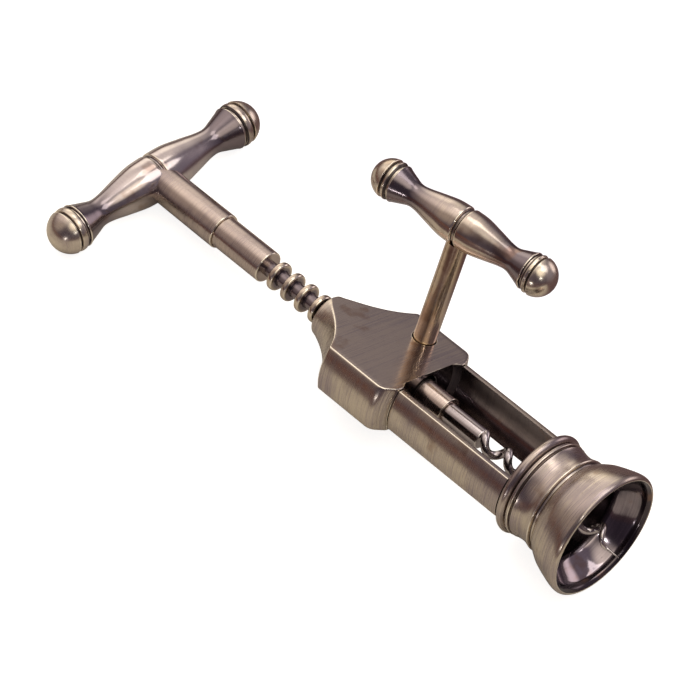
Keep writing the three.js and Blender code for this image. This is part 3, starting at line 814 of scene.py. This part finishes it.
def make_shaft():
    foot, top = HOUSING_BOTTOM + SCREW_HEAD + 2 * GAP, SIDE_Z - 5
    levels = rounded([(foot, 0), (foot, JOURNAL_R, 0.2), (PINION_HALF + GAP, JOURNAL_R),
                      (PINION_HALF + GAP, SHAFT_R, 0.2), (top, SHAFT_R), (top, 0)], 4)
    shaft = turned("winder_shaft", levels, winder_place(), 112)
    dress(shaft, SHAFT, "crank", "side_shaft")


def make_pinion():
    """The pinion, with a tooth's gap set on the ring beside it, and the cross pin that holds it."""
    place = TOOL @ shift(PINION_X, PINION_Y, 0)
    pitch_r = PINION_TEETH * RING_PITCH / (2 * math.pi)
    gap_x = FIRST_RING_X + RING_PITCH * 8.5
    mesh_angle = -math.pi / 2 + (gap_x - PINION_X) / pitch_r
    tooth = [(-0.27, PINION_ROOT_R, 0.35), (-0.1, PINION_TIP_R, 0.3),
             (0.1, PINION_TIP_R, 0.3), (0.27, PINION_ROOT_R, 0.35)]
    corners = []
    for number in range(PINION_TEETH):
        for offset, radius, ease in tooth:
            angle = mesh_angle + number * 2 * math.pi / PINION_TEETH + offset
            corners.append((radius * math.cos(angle), radius * math.sin(angle), ease))
    outline = rounded(corners, 4)
    face_scale, face_edge = 0.965, 0.2
    levels = [(-PINION_HALF, face_scale), (-PINION_HALF + face_edge, 1.0),
              (PINION_HALF - face_edge, 1.0), (PINION_HALF, face_scale)]
    sections = [[(x * scale, y * scale, z) for x, y in outline] for z, scale in levels]
    pinion = finish_mesh("pinion_toothed", loft_mesh(sections), place)
    bore_r, bore_half = JOURNAL_R + 0.05, 9
    cut(pinion, place, [cylinder_z(0, 0, [(-bore_half, bore_r), (bore_half, bore_r)], 64)])
    dress(pinion, STEEL, "crank", "pinion")

    length = PINION_ROOT_R - 0.6
    profile = rounded([(-length, 0), (-length, PIN_R, 0.2), (length, PIN_R, 0.2), (length, 0)], 4)
    pin = turned("pinion_cross_pin", profile, place, 32)
    dress(pin, STEEL, "crank", "pinion_pin")


def make_foot_screw():
    """The screw in the side shaft's foot, with a slot across its head."""
    top, stem_r, stem = HOUSING_BOTTOM + SCREW_HEAD, 1.1, 2
    levels = rounded([(HOUSING_BOTTOM, 0), (HOUSING_BOTTOM, SCREW_HEAD_R, 0.4), (top, SCREW_HEAD_R, 0.15),
                      (top, stem_r), (top + stem, stem_r), (top + stem, 0)], 4)
    screw = turned("foot_screw_slotted", levels, winder_place(), 64)
    cut(screw, winder_place(), [block((1.2, 10, 0.8), (HOUSING_BOTTOM, 0, 0))])
    dress(screw, STEEL, "crank", "foot_screw")


# ---- stage, in metres, with the camera's angles and the lights' directions in the world's frame ----

CAMERA_AZIMUTH, CAMERA_ELEVATION, CAMERA_ROLL = 40.61, 50.86, math.radians(7.60)
CAMERA_DISTANCE, CAMERA_LENS, CAMERA_SENSOR = 1.0324, 195.7, 36
CAMERA_AIM = TOOL @ (Vector((-90.79, -5.82, 0)) * MM)

STAGE_R, STAGE_MIDDLE_Y = 0.42, -0.03
PALE_HALF, DIM_HALF = 0.045, 0.085
FLOOR_PALE, FLOOR_DIM = (0.66, 0.64, 0.57, 1), (0.13, 0.08, 0.09, 1)

ROOM, SKIRTING, BACKDROP = (0.095, 0.076, 0.10), (0.17, 0.085, 0.07, 1), (0.95, 0.95, 0.955, 1)
SOFT_AREAS = (  # azimuth and elevation, angles where the area is whole and where it ends, and its colour
    (-65, 43, 14, 52, (0.86, 0.80, 0.74)),
    (-125, 42, 5, 50, (0.34, 0.285, 0.235)),
    (35, 25, 10, 60, (0.17, 0.155, 0.18)),
    (-56, 15, 8, 24, (0.85, 0.80, 0.66)),
    (102, 64, 8, 28, (1.35, 1.25, 1.05)),
    (12, 8, 8, 22, (1.3, 1.15, 1.15)),
    (-80, 84, 10, 34, (0.45, 0.43, 0.41)))


def towards(azimuth, elevation):
    """A direction, with its azimuth from +Y towards +X, in degrees."""
    a, e = math.radians(azimuth), math.radians(elevation)
    return Vector((math.sin(a) * math.cos(e), math.cos(a) * math.cos(e), math.sin(e)))


def make_camera():
    data = bpy.data.cameras.new("camera")
    data.lens = CAMERA_LENS
    data.sensor_width = CAMERA_SENSOR
    data.clip_start = 0.05
    camera = bpy.data.objects.new("camera", data)
    bpy.context.scene.collection.objects.link(camera)
    back = towards(180 - CAMERA_AZIMUTH, CAMERA_ELEVATION)
    right = Vector((0, 0, 1)).cross(back).normalized()
    turn = Matrix((right, back.cross(right), back)).transposed().to_4x4()
    turn = turn @ Matrix.Rotation(CAMERA_ROLL, 4, "Z")
    camera.matrix_world = Matrix.Translation(CAMERA_AIM + back * CAMERA_DISTANCE) @ turn
    bpy.context.scene.camera = camera


def make_floor():
    """A floor that the camera sees as plain and pale.

    Its own colour is pale in a strip along the tool and dim beyond it, so that the metal mirrors a darker
    room. The glow that evens this out is only for the camera's rays.
    """
    bm = bmesh.new()
    bmesh.ops.create_circle(bm, cap_ends=True, segments=128, radius=STAGE_R)
    mesh = bpy.data.meshes.new("floor")
    bm.to_mesh(mesh)
    bm.free()
    floor = bpy.data.objects.new("floor", mesh)
    bpy.context.scene.collection.objects.link(floor)
    material = bpy.data.materials.new("pale_floor")
    material.use_nodes = True
    tree = material.node_tree
    shader = tree.nodes["Principled BSDF"]
    place = node(tree, "ShaderNodeTexCoord").outputs["Object"]
    across = node(tree, "ShaderNodeSeparateXYZ", {0: place}).outputs["Y"]
    from_middle = math_node(tree, "ABSOLUTE", math_node(tree, "SUBTRACT", across, STAGE_MIDDLE_Y))
    dim = remap(tree, from_middle, PALE_HALF, DIM_HALF)
    tree.links.new(blend(tree, dim, FLOOR_PALE, FLOOR_DIM), shader.inputs["Base Color"])
    shader.inputs["Roughness"].default_value = 0.75
    shader.inputs["Emission Color"].default_value = (1, 1, 1, 1)
    seen = node(tree, "ShaderNodeLightPath").outputs["Is Camera Ray"]
    glow = math_node(tree, "MULTIPLY", seen, remap(tree, dim, 0.0, 1.0, 0.84, 1.03))
    tree.links.new(glow, shader.inputs["Emission Strength"])
    mesh.materials.append(material)


def make_world():
    """A dim violet room with soft pale areas and a red-brown skirting. The camera sees it as near white."""
    world = bpy.data.worlds.new("studio")
    world.use_nodes = True
    bpy.context.scene.world = world
    tree = world.node_tree
    tree.nodes.clear()
    direction = node(tree, "ShaderNodeTexCoord").outputs["Generated"]
    height = node(tree, "ShaderNodeSeparateXYZ", {0: direction}).outputs["Z"]

    def facing(azimuth, elevation):
        return node(tree, "ShaderNodeVectorMath", {0: direction, 1: towards(azimuth, elevation)},
                    operation="DOT_PRODUCT").outputs["Value"]

    room = ROOM
    for azimuth, elevation, inner, outer, colour in SOFT_AREAS:
        share = remap(tree, facing(azimuth, elevation),
                      math.cos(math.radians(outer)), math.cos(math.radians(inner)))
        pale = node(tree, "ShaderNodeVectorMath", {0: colour, "Scale": share}, operation="SCALE").outputs[0]
        room = vector_node(tree, "ADD", room, pale)
    low = remap(tree, math_node(tree, "ABSOLUTE", height), 0.16, 0.05)
    skirting = math_node(tree, "MULTIPLY", low, remap(tree, facing(-120, 0), 0.0, 0.7, 0.35, 1.0))
    room = blend(tree, skirting, room, SKIRTING)
    seen = node(tree, "ShaderNodeLightPath").outputs["Is Camera Ray"]
    shown = blend(tree, seen, room, BACKDROP)
    background = node(tree, "ShaderNodeBackground", {"Color": shown, "Strength": 1.0})
    node(tree, "ShaderNodeOutputWorld", {"Surface": background.outputs[0]})


def soft_light(name, direction, distance, size, radiance, colour=(1, 1, 1)):
    """A square area light that looks at the tool from this direction, as bright as its radiance says."""
    data = bpy.data.lights.new(name, "AREA")
    data.shape = "SQUARE"
    data.size = size
    data.energy = radiance * math.pi * size * size
    data.color = colour
    light = bpy.data.objects.new(name, data)
    bpy.context.scene.collection.objects.link(light)
    facing = direction.to_track_quat("Z", "Y").to_matrix().to_4x4()
    light.matrix_world = Matrix.Translation(direction * distance) @ facing


def make_lights():
    soft_light("key", towards(38, 60), 1.1, 0.58, 1.9, (1.0, 0.97, 0.96))
    soft_light("fill", towards(-38, 66), 1.1, 0.42, 1.4, (1.0, 0.95, 0.89))
    soft_light("lamp_low", towards(161, 4), 0.8, 0.028, 90.0)
    soft_light("lamp_high", towards(111, 36), 0.8, 0.028, 70.0)


make_camera()
make_floor()
make_world()
make_lights()
make_housing()
make_walls()
make_collar()
make_necking()
make_bowl()
make_rack()
make_hub()
make_rod()
make_worm()
make_handle("main", MAIN, main_place(), "screw", MAIN_BAR)
make_shaft()
make_pinion()
make_foot_screw()
make_handle("side", SIDE, side_place(), "crank", SIDE_BAR)

bpy.context.scene.view_settings.view_transform = "Standard"
